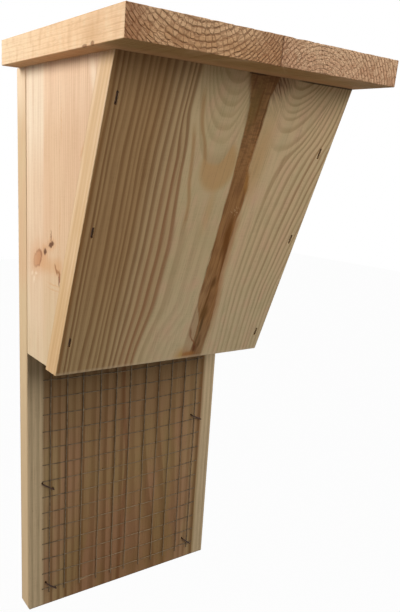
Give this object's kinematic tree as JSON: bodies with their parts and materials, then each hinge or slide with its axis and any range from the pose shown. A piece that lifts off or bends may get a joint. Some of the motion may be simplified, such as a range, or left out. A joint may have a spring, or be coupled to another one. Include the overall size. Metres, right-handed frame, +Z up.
{
  "type": "bat box",
  "caption": "Wall-hung wooden bat box: tall back board with wire climbing mesh, wedge chamber with a leaning front, flat two-board roof.",
  "frame": {"origin": "middle of the back board's rear face, the face that lies on the wall", "axes": "+X to the right as seen from the front, +Y into the wall, +Z up"},
  "size_m": [0.1747, 0.1515, 0.3918],
  "materials": {
    "back_wood": "planed softwood, untreated, fine straight grain",
    "side_wood": "planed softwood, untreated, pale and pinkish with small knots",
    "front_wood": "planed softwood, untreated, bold flat-sawn grain with a brown pith stripe",
    "roof_wood": "planed softwood, untreated, rough-sawn end grain at the front",
    "mesh_wire": "dull galvanised wire",
    "staple_wire": "galvanised staple wire"
  },
  "bodies": {
    "root": {"back_board": "back_wood", "side_panel_left": "side_wood", "side_panel_right": "side_wood", "front_board": "front_wood", "roof_board_left": "roof_wood", "roof_board_right": "roof_wood", "climbing_mesh": "mesh_wire", "front_staple_left_top": "staple_wire", "front_staple_left_middle": "staple_wire", "front_staple_left_bottom": "staple_wire", "front_staple_right_top": "staple_wire", "front_staple_right_middle": "staple_wire", "front_staple_right_bottom": "staple_wire", "back_staple_left_bottom": "staple_wire", "back_staple_left_middle": "staple_wire", "back_staple_left_top": "staple_wire", "back_staple_right_bottom": "staple_wire", "back_staple_right_middle": "staple_wire", "back_staple_right_top": "staple_wire", "roof_staple_left_rear": "staple_wire", "roof_staple_left_middle": "staple_wire", "roof_staple_left_front": "staple_wire", "roof_staple_right_rear": "staple_wire", "roof_staple_right_middle": "staple_wire", "roof_staple_right_front": "staple_wire", "roof_staple_back_left": "staple_wire", "roof_staple_back_right": "staple_wire", "roof_staple_front_left": "staple_wire", "roof_staple_front_right": "staple_wire", "mesh_staple_left_bottom": "staple_wire", "mesh_staple_right_bottom": "staple_wire", "mesh_staple_left_middle": "staple_wire", "mesh_staple_right_middle": "staple_wire", "mesh_staple_left_chamber": "staple_wire", "mesh_staple_right_chamber": "staple_wire", "mesh_staple_left_top": "staple_wire", "mesh_staple_right_top": "staple_wire"}
  },
  "joints": []
}
